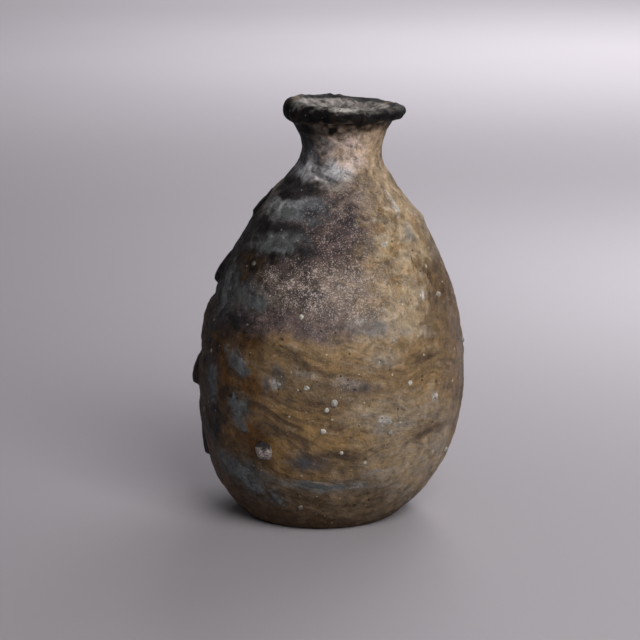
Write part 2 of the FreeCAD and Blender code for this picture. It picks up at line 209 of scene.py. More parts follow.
# Swells and dents of the hand-built wall: height, azimuth, spread upward in mm, spread round in
# degrees, and how far the wall stands out.
SWELLS = [
    (205, 180, 7, 48, 1.7), (171, 180, 5, 30, 0.8), (147, 180, 7, 30, -0.7),
    (113, 180, 3, 25, -1.2), (104, 180, 5, 30, 1.2), (84, 180, 4, 22, -1.4), (59, 180, 7, 25, -1.0),
    (17, 180, 8, 35, 0.6), (183, 0, 4, 30, 1.1), (161, 0, 4, 30, 1.2), (139, 0, 12, 35, -0.6),
    (4, 0, 6, 40, -1.2), (150, -95, 7, 22, -0.9), (128, -120, 6, 20, 0.7), (96, -60, 8, 30, 0.6),
    (60, -110, 9, 25, -0.6), (120, 70, 12, 30, 0.9), (80, 130, 14, 30, -0.9), (40, 60, 12, 30, 0.7),
]
# Open pits where a bubble burst or a grain fell out: height, azimuth, radius and depth.
PITS = [
    (97, -71, 1.5, 1.1), (128, -65, 1.1, 0.9), (120, -20, 1.0, 0.8), (61, -86, 1.2, 0.6),
    (50, -72, 1.3, 0.6), (110, -38, 1.0, 0.7), (76, 40, 1.3, 0.9), (100, 120, 1.6, 1.0),
    (142, 100, 1.2, 0.9), (52, -30, 1.0, 0.7), (133, -44, 0.9, 0.8), (88, -48, 1.0, 0.6),
]
SEAM_GROOVE = 0.35
SEAM_BREADTH = 1.6
CRUMBLE_FROM = 207.0
CRUMBLE_FULL = 212.0
FOOT_FADE = 3.5


def relief(points, height, azimuth):
    """How far the clay stands out from the plain form at each point of the outside."""
    left = smooth(-points[..., 0], 20, 60)
    # How proud in mm, the size of the features and a seed: ridges, swells, lumps, then grit.
    out = 0.22 * noise(points, (80, 80, 13), 3) + 0.05 * noise(points, (40, 40, 3.6), 5)
    out += 0.8 * noise(points, 46, 7)
    out += (0.26 + 0.3 * left) * noise(points, (17, 17, 11), 11)
    out += (0.22 + 0.1 * left) * noise(points, 4.5, 13) + 0.14 * noise(points, 2.2, 19)
    for at, facing, up, round_, proud in SWELLS:
        off = angle_between(azimuth, facing) / round_
        out += proud * np.exp(-((height - at) / up) ** 2 - off ** 2)
    radius = np.hypot(points[..., 0], points[..., 1])
    for at, facing, size, depth in PITS:
        across = np.radians(angle_between(azimuth, facing)) * radius
        gap = np.hypot(across, height - at) / size
        out -= depth * np.exp(-gap ** 4) - 0.25 * depth * np.exp(-((gap - 1.5) / 0.4) ** 2)
    for seam, _ in (BELLY_SEAM, NECK_SEAM):
        wander = 0.8 * noise(points, (30, 30, 400), 23)
        out -= SEAM_GROOVE * np.exp(-((height - seam + wander) / SEAM_BREADTH) ** 2)
    crumble = smooth(height, CRUMBLE_FROM, CRUMBLE_FULL)
    out += crumble * (0.5 * noise(points, 5.5, 29) + 0.32 * noise(points, 2.4, 31))
    return out * smooth(height, 0, FOOT_FADE)


def lip_drop(height, azimuth):
    """How far the underside of the lip hangs lower: the roll is thick at the left, thin at the right."""
    thick = LIP_SAG * np.cos(np.radians(azimuth - 180))
    return thick * smooth(height, 199, 210.5) * (1 - smooth(height, 212, 218.5))


azimuths = np.arange(COLUMNS) * 360.0 / COLUMNS - 180.0

# The outside in four runs, each ending at a seam, then the lip's roll and the mouth down to its seam.
NECK_TOP = 209.9
LIP_CENTRE = (LIP_RADIUS - LIP_ROLL, LIP_TOP - LIP_ROLL)
FLARE_CENTRE = (THROAT_RADIUS + FLARE_CURVE, FLARE_HEIGHT)
LIP_UNDER_ANGLE = -96
LIP_INNER_ANGLE = 108
FLARE_END_ANGLE = 173
outside_runs = [rise(outside_radius, 0, SLAB), rise(outside_radius, SLAB, BELLY_SEAM[0]),
                rise(outside_radius, BELLY_SEAM[0], NECK_SEAM[0]),
                rise(outside_radius, NECK_SEAM[0], RIM_SEAM[0])]
lip_run = np.concatenate([rise(outside_radius, RIM_SEAM[0], NECK_TOP),
                          turn_round(LIP_CENTRE, LIP_ROLL, LIP_UNDER_ANGLE, LIP_INNER_ANGLE),
                          turn_round(FLARE_CENTRE, FLARE_CURVE, LIP_INNER_ANGLE, FLARE_END_ANGLE)])
mouth_heights = np.linspace(lip_run[-1][1], RIM_SEAM[1], 8)
lip_run = np.concatenate([lip_run, np.stack([inside_radius(mouth_heights), mouth_heights], axis=1)])
rows = [resample(run, ROW_STEP) for run in outside_runs] + [resample(lip_run, LIP_STEP)]
ends = np.cumsum([len(run) - 1 for run in rows])
profile = np.concatenate([run[:-1] for run in rows] + [rows[-1][-1:]])

row_height = profile[:, 1][:, None] + np.zeros(COLUMNS)
row_radius = profile[:, 0][:, None] + np.zeros(COLUMNS)
all_azimuth = azimuths[None, :] + np.zeros((len(profile), 1))
in_mouth = (np.arange(len(profile)) > ends[3] + np.argmax(rows[-1][:, 1]))[:, None]
plain = place(row_radius, row_height - lip_drop(row_height, all_azimuth) * ~in_mouth, all_azimuth)
facing = normals_of(plain)
proud = relief(plain, row_height, all_azimuth)
proud *= np.where(in_mouth, 0.6 * smooth(row_height, RIM_SEAM[1], 210), 1.0)
outside = plain + facing * proud[..., None]


def inner_rows(low, high):
    """A grid of the hollow's surface between two heights on the inside, from the top down."""
    points = resample(rise(inside_radius, low, high), INSIDE_STEP)[::-1]
    height = points[:, 1][:, None] + np.zeros(COLUMNS)
    grid = place(points[:, 0][:, None] + np.zeros(COLUMNS), height, azimuths[None, :])
    return grid - normals_of(grid) * (0.5 * noise(grid, (60, 60, 12), 37))[..., None] * (
        smooth(height, low, low + 4) * (1 - smooth(height, high - 4, high)))[..., None]


# -------------------- colour zones

# Named colours of clay, ash and glaze, as linear reflectances.
COLOURS = {
    "buff": (0.42, 0.32, 0.205), "sand": (0.40, 0.29, 0.18), "tan": (0.43, 0.31, 0.21),
    "ochre": (0.165, 0.097, 0.036), "gold": (0.28, 0.168, 0.064), "amber": (0.110, 0.046, 0.008),
    "olive": (0.165, 0.104, 0.042), "umber": (0.070, 0.039, 0.017), "taupe": (0.31, 0.225, 0.128),
    "clay": (0.145, 0.098, 0.057), "rose": (0.65, 0.515, 0.455), "plum": (0.150, 0.100, 0.088),
    "mauve": (0.195, 0.145, 0.122), "charcoal": (0.040, 0.034, 0.038), "soot": (0.004, 0.0035, 0.004),
    "black": (0.014, 0.012, 0.012), "steel": (0.20, 0.215, 0.225), "slate": (0.085, 0.092, 0.105),
    "mist": (0.50, 0.475, 0.445), "frost": (0.54, 0.53, 0.555), "stone": (0.27, 0.228, 0.184),
    "dusk": (0.135, 0.142, 0.160), "powder": (0.095, 0.100, 0.101), "inside": (0.40, 0.365, 0.345),
    "haze": (0.31, 0.32, 0.335),
}

# Zones, painted in this order. Each has its height and azimuth, half its height and half its breadth
# in mm, how soft its edge is, its main colour and the colour of its streaks or blotches, and from
# 0 to 1 how streaked it is, how glassy, and how thickly sown with bright grains, whose sparkle is painted
# into the colour as highlight.
ROUND = 999
ZONES = [
    (70, 0, 400, ROUND, 0.1, "gold", "olive", 0.8, 0.6, 0.1),
    (4, 0, 13, ROUND, 0.6, "umber", "umber", 0.8, 0.2, 0.05),
    (24, -80, 14, 120, 0.6, "clay", "umber", 0.8, 0.3, 0.1),
    (38, -30, 24, 46, 0.7, "taupe", "stone", 0.5, 0.3, 0.1),
    (60, -112, 22, 26, 0.7, "gold", "umber", 0.8, 0.5, 0.1),
    (92, -96, 8, 36, 0.7, "gold", "umber", 0.8, 0.5, 0.15),
    (84, -92, 8, 34, 0.7, "clay", "olive", 0.8, 0.4, 0.2),
    (68, -58, 12, 30, 0.7, "taupe", "stone", 0.7, 0.4, 0.15),
    (140, -34, 36, 100, 0.5, "buff", "gold", 0.15, 0.5, 0.25),
    (112, -38, 8, 22, 0.7, "ochre", "gold", 0.5, 0.7, 0.15),
    (118, -62, 8, 16, 0.8, "buff", "sand", 0.3, 0.5, 0.35),
    (111, -56, 3, 22, 0.8, "buff", "stone", 0.7, 0.5, 0.2),
    (126, -12, 26, 36, 0.5, "ochre", "umber", 0.2, 0.6, 0.2),
    (84, -8, 28, 29, 0.7, "ochre", "umber", 0.4, 0.6, 0.25),
    (150, -8, 10, 12, 0.7, "olive", "stone", 0.2, 0.5, 0.1),
    (195, 0, 20, ROUND, 0.3, "sand", "clay", 0.1, 0.2, 0.2),
    (192, -48, 14, 18, 0.7, "tan", "sand", 0.1, 0.2, 0.2),
    (194, -88, 13, 15, 0.6, "rose", "tan", 0.1, 0.2, 0.4),
    (190, -156, 20, 17, 0.6, "dusk", "charcoal", 0.1, 0.2, 0.1),
    (172, -95, 7, 26, 0.6, "plum", "stone", 0.2, 0.2, 0.5),
    (184, -103, 6, 12, 0.8, "frost", "slate", 0.1, 0.2, 0.2),
    (70, 168, 62, 74, 0.4, "amber", "soot", 0.5, 0.4, 0.05),
    (92, 176, 24, 34, 0.6, "soot", "amber", 0.4, 0.3, 0.05),
    (46, 176, 20, 30, 0.6, "soot", "umber", 0.4, 0.3, 0.05),
    (104, -150, 10, 17, 0.7, "soot", "amber", 0.4, 0.4, 0.05),
    (82, -156, 16, 11, 0.7, "soot", "amber", 0.4, 0.4, 0.05),
    (52, -150, 14, 11, 0.7, "soot", "umber", 0.4, 0.4, 0.05),
    # Blue-grey patches low on the left: ash, and partly a painted reflection of the pale floor and backdrop
    # on the glossy side.
    (31, -134, 7, 20, 0.8, "powder", "umber", 0.3, 0.2, 0.1),
    (20, -122, 5, 12, 0.8, "powder", "umber", 0.3, 0.2, 0.1),
    (65, -133, 10, 6, 0.8, "powder", "soot", 0.2, 0.2, 0.1),
    (90, -133, 8, 6, 0.8, "powder", "umber", 0.2, 0.2, 0.1),
    (80, -120, 5, 3, 0.8, "powder", "umber", 0.2, 0.2, 0.1),
    (74, -152, 9, 6, 0.8, "powder", "soot", 0.2, 0.2, 0.1),
    (78, -128, 6, 7, 0.7, "amber", "umber", 0.5, 0.4, 0.05),
    (101, -130, 4, 9, 0.7, "amber", "soot", 0.5, 0.4, 0.05),
    (52, -128, 8, 7, 0.7, "amber", "umber", 0.5, 0.4, 0.05),
    (58, 160, 12, 10, 0.9, "powder", "soot", 0.2, 0.2, 0.1),
    (94, 146, 10, 9, 0.9, "powder", "amber", 0.2, 0.2, 0.1),
    (134, 150, 8, 9, 0.9, "powder", "soot", 0.2, 0.2, 0.1),
    (158, -103, 13, 34, 0.4, "charcoal", "plum", 0.2, 0.15, 0.5),
    (141, -112, 14, 40, 0.5, "charcoal", "plum", 0.3, 0.15, 0.65),
    (140, -158, 30, 42, 0.4, "charcoal", "soot", 0.5, 0.3, 0.2),
    (124, -98, 13, 28, 0.6, "mauve", "charcoal", 0.3, 0.2, 1.0),
    (112, -114, 7, 40, 0.7, "plum", "charcoal", 0.5, 0.3, 0.3),
    (131, -84, 10, 16, 0.8, "mauve", "sand", 0.2, 0.3, 0.9),
    (167, -134, 5, 15, 0.8, "haze", "slate", 0.2, 0.2, 0.3),
    (167, -114, 4, 10, 0.9, "slate", "charcoal", 0.2, 0.2, 0.4),
    (150, -130, 5, 13, 0.9, "steel", "charcoal", 0.2, 0.2, 0.2),
    (175, -141, 5, 17, 0.35, "soot", "charcoal", 0.2, 0.3, 0.05),
    (156, -138, 4, 15, 0.5, "soot", "charcoal", 0.2, 0.3, 0.05),
    (135, -141, 10, 17, 0.4, "soot", "umber", 0.15, 0.4, 0.05),
    (148, -111, 3, 6, 0.9, "soot", "charcoal", 0.3, 0.3, 0.05),
    (108, -140, 7, 18, 0.8, "charcoal", "soot", 0.4, 0.3, 0.1),
    # Blue-grey patches on the left: ash, and partly a painted reflection of the floor and backdrop.
    (121, -133, 6, 14, 0.8, "powder", "charcoal", 0.2, 0.2, 0.1),
    (120, -158, 12, 11, 0.8, "powder", "soot", 0.2, 0.2, 0.1),
    (86, -79, 2.5, 9, 0.9, "charcoal", "taupe", 0.7, 0.3, 0.05),
    (113, -75, 2.5, 9, 0.8, "steel", "mauve", 0.7, 0.2, 0.1),
    (45, -99, 5, 10, 0.9, "slate", "umber", 0.7, 0.3, 0.05),
    (49, -83, 2.5, 11, 0.9, "umber", "soot", 0.7, 0.4, 0.05),
    (38, -64, 2.5, 8, 0.9, "steel", "taupe", 0.7, 0.2, 0.05),
    (30, -88, 3, 20, 0.9, "steel", "clay", 0.7, 0.2, 0.05),
    (68, -66, 2.4, 2.6, 0.6, "mist", "stone", 0.0, 0.5, 0.1),
    (82, -114, 2.6, 2.8, 0.8, "mist", "steel", 0.0, 0.4, 0.1),
    # Blue-grey patch: ash, and partly a painted reflection of the floor and backdrop.
    (87, -114, 3.6, 3.0, 0.9, "powder", "umber", 0.0, 0.3, 0.1),
    (76, -41, 2.6, 2.0, 0.6, "mist", "stone", 0.0, 0.5, 0.1),
    (91, -102, 2.0, 5.0, 0.9, "stone", "clay", 0.3, 0.4, 0.3),
    (88, -84, 2.4, 7.0, 0.9, "mauve", "stone", 0.4, 0.3, 0.4),
    (99, -70, 3.2, 6.5, 0.9, "stone", "taupe", 0.2, 0.6, 0.1),
    (170, -41, 6.0, 2.2, 0.6, "mist", "taupe", 0.0, 0.6, 0.1),
    (156, -42, 6.0, 5.0, 0.9, "stone", "buff", 0.0, 0.6, 0.1),
    (128, -44, 3.0, 2.4, 0.6, "mist", "buff", 0.0, 0.6, 0.1),
    (117, -80, 2.4, 4.0, 0.9, "mist", "mauve", 0.0, 0.4, 0.6),
    (58, -40, 3.0, 14.0, 0.9, "umber", "olive", 0.8, 0.6, 0.05),
    (97, -46, 3.0, 13.0, 0.9, "umber", "gold", 0.8, 0.6, 0.05),
    (75, -98, 2.6, 16.0, 0.9, "umber", "gold", 0.8, 0.5, 0.05),
    (214, 0, 8.0, ROUND, 0.45, "soot", "black", 0.1, 0.35, 0.02),
    (206, 178, 9, 15, 0.5, "soot", "black", 0.1, 0.35, 0.02),
    (217.5, -92, 1.8, 17, 0.9, "mist", "soot", 0.0, 0.2, 0.5),
]
EDGE_WANDER = 8.0


def paint_zones(points, height, azimuth):
    """The two colours and the three finish values of every point, from the zones over it."""
    radius = np.hypot(points[..., 0], points[..., 1])
    frayed = 0.4 * noise(points, 2.4, 45)
    shift_up = EDGE_WANDER * (layered(points, 22, 41) + 0.5 * noise(points, 5, 43) + frayed)
    shift_round = 1.6 * EDGE_WANDER * (layered(points, 26, 47) + 0.4 * noise(points, 6, 49) + frayed)
    found = np.zeros(points.shape[:-1] + (9,))
    for at, facing, up, wide, edge, main, vein, streaky, glassy, sown in ZONES:
        across = 0 if wide == ROUND else np.radians(angle_between(azimuth, facing)) * radius
        wander = min(1.0, max(0.35, min(up, wide) / 12))
        far = np.hypot((height - at + wander * shift_up) / up, (across + wander * shift_round) / wide)
        share = (1 - smooth(far, 1 - edge, 1 + edge))[..., None]
        value = np.array(COLOURS[main] + COLOURS[vein] + (streaky, glassy, sown))
        found = found * (1 - share) + value * share
    return found


paint = paint_zones(outside, row_height, all_azimuth)
inner_ash = np.array(COLOURS["inside"] + COLOURS["charcoal"] + (0.1, 0.2, 0.3))
lip_edge = (in_mouth * smooth(217.9 - row_height + 0.7 * noise(outside, 7, 109), 0, 0.8))[..., None]
paint = paint * (1 - lip_edge) + inner_ash * lip_edge


# -------------------- meshes

def make_object(name, points, faces, colours, sharp_seams=True, cover=None):
    """A mesh object from points in mm, its faces, the paint of its points, and how covered each is."""
    mesh = bpy.data.meshes.new(name)
    mesh.from_pydata((points * MM).tolist(), [], faces)
    mesh.shade_smooth()
    if colours is not None:
        alpha = np.ones((len(points), 1))
        for label, part in (("main", colours[:, 0:3]), ("vein", colours[:, 3:6])):
            layer = mesh.attributes.new(label, "FLOAT_COLOR", "POINT")
            layer.data.foreach_set("color", np.hstack([part, alpha]).astype(np.float32).ravel())
        for label, column in (("streaky", 6), ("glassy", 7), ("sown", 8)):
            layer = mesh.attributes.new(label, "FLOAT", "POINT")
            layer.data.foreach_set("value", colours[:, column].astype(np.float32))
    if cover is not None:
        layer = mesh.attributes.new("cover", "FLOAT", "POINT")
        layer.data.foreach_set("value", cover.astype(np.float32))
    if sharp_seams:
        mesh.set_sharp_from_angle(angle=SHARP_ANGLE)
    mesh.update()
    shape = bpy.data.objects.new(name, mesh)
    bpy.context.scene.collection.objects.link(shape)
    return shape


def ring_faces(row_count, closed):
    """Four-sided faces between the rows of a grid that goes all the way round."""
    row = np.arange(row_count if closed else row_count - 1)[:, None]
    column = np.arange(COLUMNS)[None, :]
    above = (row + 1) % row_count
    beside = (column + 1) % COLUMNS
    corners = [row * COLUMNS + column, row * COLUMNS + beside,
               above * COLUMNS + beside, above * COLUMNS + column]
    return np.stack(corners, axis=-1).reshape(-1, 4).tolist()


def stand_for(shape, node, material):
    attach(shape, BODY)
    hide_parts(node)
    shape.data.materials.append(material)
    return shape


def plain_paint(grid):
    """Paint for the hollow and the underside: bare brown clay."""
    return np.broadcast_to(np.array(COLOURS["clay"] + COLOURS["umber"] + (0.3, 0.1, 0.1)),
                           grid.shape[:-1] + (9,))


def wall_section(name, first, last, inner):
    """A clay section: rows of the outside, joined along its seams to the hollow's rows."""
    grid = np.concatenate([outside[first:last + 1], inner])
    colours = np.concatenate([paint[first:last + 1], plain_paint(inner)])
    return make_object(name, grid.reshape(-1, 3), ring_faces(len(grid), True), colours.reshape(-1, 9))


DISC_RINGS = 13
DISC_MIDDLE = 0.04


def base_slab_piece():
    """The foot: the outside's first rows, closed by a flat disc under it and one inside on top."""
    shares = np.linspace(DISC_MIDDLE, 1, DISC_RINGS + 1)[:-1]
    under = place(shares[:, None] * profile[0, 0] + np.zeros(COLUMNS),
                  np.zeros((DISC_RINGS, 1)), azimuths[None, :])
    over = place(shares[::-1, None] * profile[ends[0], 0] + np.zeros(COLUMNS),
                 np.full((DISC_RINGS, 1), SLAB), azimuths[None, :])
    grid = np.concatenate([under, outside[:ends[0] + 1], over])
    colours = np.concatenate([plain_paint(under), paint[:ends[0] + 1], plain_paint(over)])
    faces = ring_faces(len(grid), False)
    faces.append(list(range(COLUMNS))[::-1])
    faces.append([(len(grid) - 1) * COLUMNS + column for column in range(COLUMNS)])
    return make_object("base_slab_clay", grid.reshape(-1, 3), faces, colours.reshape(-1, 9))


SKIN_EDGE = -0.25
SKIN_BURIED = 0.45


def skin(name, thickness):
    """A deposit on the outside whose top sinks into the clay at its edge, closed underneath."""
    kept = thickness > SKIN_EDGE
    row, column = np.arange(len(profile) - 1)[:, None], np.arange(COLUMNS)[None, :]
    beside = (column + 1) % COLUMNS
    cell = kept[row, column] & kept[row + 1, column] & kept[row, beside] & kept[row + 1, beside]
    at_row, at_column = np.nonzero(cell)
    next_column = (at_column + 1) % COLUMNS
    corners = np.stack([at_row * COLUMNS + at_column, at_row * COLUMNS + next_column,
                        (at_row + 1) * COLUMNS + next_column, (at_row + 1) * COLUMNS + at_column], axis=1)
    used, faces = np.unique(corners, return_inverse=True)
    faces = faces.reshape(corners.shape)
    flat, normal = outside.reshape(-1, 3)[used], facing.reshape(-1, 3)[used]
    top = flat + normal * np.maximum(thickness.reshape(-1)[used], SKIN_EDGE)[:, None]
    bottom = flat - normal * SKIN_BURIED
    sides = np.concatenate([faces[:, [k, (k + 1) % 4]] for k in range(4)])
    there = set(map(tuple, sides.tolist()))
    rim = [side for side in there if (side[1], side[0]) not in there]
    count = len(used)
    walls = [[b, a, a + count, b + count] for a, b in rim]
    colours = np.tile(paint.reshape(-1, 9)[used], (2, 1))
    cover = np.tile(thickness.reshape(-1)[used] / thickness.max(), 2)
    return make_object(name, np.concatenate([top, bottom]),
                       faces.tolist() + (faces[:, ::-1] + count).tolist() + walls, colours, False, cover)


def loose_parts(node):
    """The points of each separate solid in a CAD node, in mm and in a fixed order, largest first."""
    source = bmesh.new()
    source.from_mesh(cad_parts[node].data)
    bmesh.ops.remove_doubles(source, verts=source.verts, dist=WELD)
    parts = []
    waiting = set(source.verts)
    while waiting:
        group, edge = set(), [waiting.pop()]
        while edge:
            vertex = edge.pop()
            group.add(vertex)
            for link in vertex.link_edges:
                other = link.other_vert(vertex)
                if other in waiting:
                    waiting.discard(other)
                    edge.append(other)
        parts.append(np.array(sorted(tuple(vertex.co) for vertex in group)) / MM)
    source.free()
    return sorted(parts, key=lambda part: (-round(float(np.ptp(part, axis=0).max()), 2), part[:, 2].mean()))


def nearest_on_surface(point):
    """The row and column of the outside nearest to a point in mm."""
    flat = np.linalg.norm(outside - point, axis=-1)
    return np.unravel_index(np.argmin(flat), flat.shape)


def stretch_over(part, points):
    """Points from a solid's middle: along and across it as shares of half its size, through it in mm."""
    middle = part.mean(axis=0)
    _, _, axes = np.linalg.svd(part - middle, full_matrices=False)
    half = [np.abs((part - middle) @ axis).max() for axis in axes[:2]]
    off = points - middle
    return np.stack([off @ axes[0] / half[0], off @ axes[1] / half[1], off @ axes[2]], axis=-1)


# -------------------- deposits

FLAME_AZIMUTH = math.radians(-60)
FLAME_HEIGHT = 84.0
FLAME_RADIUS = 60.0


def ash_glaze_thickness():
    """The glaze runs thin and broken at the edge of the flame's round footprint."""
    towards = np.array([math.cos(FLAME_AZIMUTH), math.sin(FLAME_AZIMUTH), 0])
    off = outside - np.array([0, 0, FLAME_HEIGHT])
    along = off @ towards
    apart = np.sqrt(np.maximum((off ** 2).sum(axis=-1) - along ** 2, 0)) + 9 * layered(outside, 20, 53)
    cover = smooth(FLAME_RADIUS - apart, -3, 9) * (along > 0)
    body = 0.34 + 0.14 * noise(outside, 9, 59) + 0.1 * noise(outside, (30, 30, 3), 61)
    return cover * (body + 0.3) - 0.3


def crust_and_reflection_thickness():
    """Crusts of grey ash, broken and frayed at the edge, thicker in the middle; on the glossy left side they
    stand partly for a painted reflection of the pale floor and backdrop.
    """
    thickest = np.full(outside.shape[:-1], -1.0)
    frayed = 0.45 * noise(outside, 8, 67) + 0.34 * noise(outside, 3.4, 71) + 0.22 * noise(outside, 1.6, 73)
    for part in loose_parts("grey_ash_crusts"):
        share = stretch_over(part, outside)
        far = np.hypot(share[..., 0], share[..., 1]) + frayed
        thickness = 0.65 * smooth(1.4 - far, 0, 0.9) - 0.25 + 0.08 * noise(outside, 2.8, 79)
        near = np.abs(share[..., 2]) < 12
        thickest = np.where(near, np.maximum(thickest, thickness), thickest)
    return thickest


TRIED_POINTS = 40


def stands_out(part):
    """How far a solid stands out from the clay, in mm, tried at some of its points."""
    off = []
    for point in part[:: max(1, len(part) // TRIED_POINTS)]:
        spot = nearest_on_surface(point)
        off.append(float((point - outside[spot]) @ facing[spot]))
    return max(off)


def lump_thickness():
    """Melted crumb: each lump swells down the wall and breaks off sharply at its lower edge."""
    thickest = np.full(outside.shape[:-1], -1.0)
    lumpy = 0.16 * noise(outside, 6, 83) + 0.1 * noise(outside, 2.5, 89)
    for part in loose_parts("kiln_lumps"):
        middle = part.mean(axis=0)
        outward = facing[nearest_on_surface(middle)]
        across = np.cross((0, 0, 1), outward)
        across = across / np.linalg.norm(across)
        upward = np.cross(outward, across)
        half_across = np.ptp(part @ across) / 2
        half_upward = np.ptp(part @ upward) / 2
        aside = (outside - middle) @ across / half_across
        height = (outside - middle) @ upward / half_upward
        swell = 0.2 + 0.6 * smooth(0.9 - height, 0, 1.5)
        end = smooth(height + lumpy, -1.0, -0.75) * smooth(1.0 - height - lumpy, 0, 0.4)
        side = smooth(1.0 - np.abs(aside) - lumpy, 0, 0.5)
        thickness = (stands_out(part) * swell + 0.3) * end * side - 0.3
        near = np.abs((outside - middle) @ outward) < 14
        thickest = np.where(near, np.maximum(thickest, thickness + 0.12 * noise(outside, 2, 97)), thickest)
    return thickest


def stone(centre, outward, radii, seed, roughness, detail):
    """Points and faces of a rough stone: a ball squeezed along its outward direction and chipped."""
    ball = bmesh.new()
    bmesh.ops.create_icosphere(ball, subdivisions=detail, radius=1.0)
    unit = np.array([list(vertex.co) for vertex in ball.verts])
    faces = [[vertex.index for vertex in face.verts] for face in ball.faces]
    ball.free()
    size = float(np.mean(radii))
    unit = unit * (1 + roughness * (noise(unit * size + seed * 7.3, size * 0.8, seed)
                                    + 0.5 * noise(unit * size, size * 0.35, seed + 1)))[:, None]
    across = np.cross(outward, (0, 0, 1))
    across = across / np.linalg.norm(across)
    upward = np.cross(across, outward)
    frame_axes = np.stack([outward, across, upward])
    return centre + (unit * np.array(radii)) @ frame_axes, faces


def join_stones(name, stones):
    points, faces = [], []
    for part_points, part_faces in stones:
        start = sum(len(p) for p in points)
        points.append(part_points)
        faces += [[corner + start for corner in face] for face in part_faces]
    return make_object(name, np.concatenate(points), faces, None, False)


def feldspar_grains_piece():
    """White grains bedded in the wall where the CAD has them, each a different rough shape."""
    stones = []
    for number, part in enumerate(loose_parts("feldspar_grains")):
        spot = nearest_on_surface(part.mean(axis=0))
        radius = float(np.ptp(part, axis=0).mean()) / 2
        outward = facing[spot]
        centre = outside[spot] - outward * 0.25 * radius
        squeeze = 0.9 + 0.12 * lattice(np.array([number, 3, 5]), 101)
        radii = (radius * 1.1, radius * squeeze * 1.2, radius * (1.8 - squeeze) * 1.2)
        stones.append(stone(centre, outward, radii, seed=number + 1, roughness=0.16, detail=4))
    return join_stones("feldspar_grains_rough", stones)


PEBBLE_RADII = (3.4, 4.7, 5.4)
PEBBLE_BURIED = 0.4


def fused_pebble_piece():
    """The pebble, a rough stone bedded in the wall, its skin of fine grit."""
    low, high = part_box("fused_pebble")
    middle = np.array(low + high) / 2 / MM
    spot = nearest_on_surface(middle)
    centre = outside[spot] - facing[spot] * PEBBLE_BURIED
    points, faces = stone(centre, facing[spot], PEBBLE_RADII, seed=7, roughness=0.12, detail=6)
    grit = 0.2 * noise(points, 1.3, 103) + 0.1 * noise(points, 0.6, 107)
    outward = points - outside[spot]
    outward = outward / np.linalg.norm(outward, axis=1, keepdims=True)
    return make_object("fused_pebble_grit", points + outward * grit[:, None], faces, None, False)


# -------------------- materials

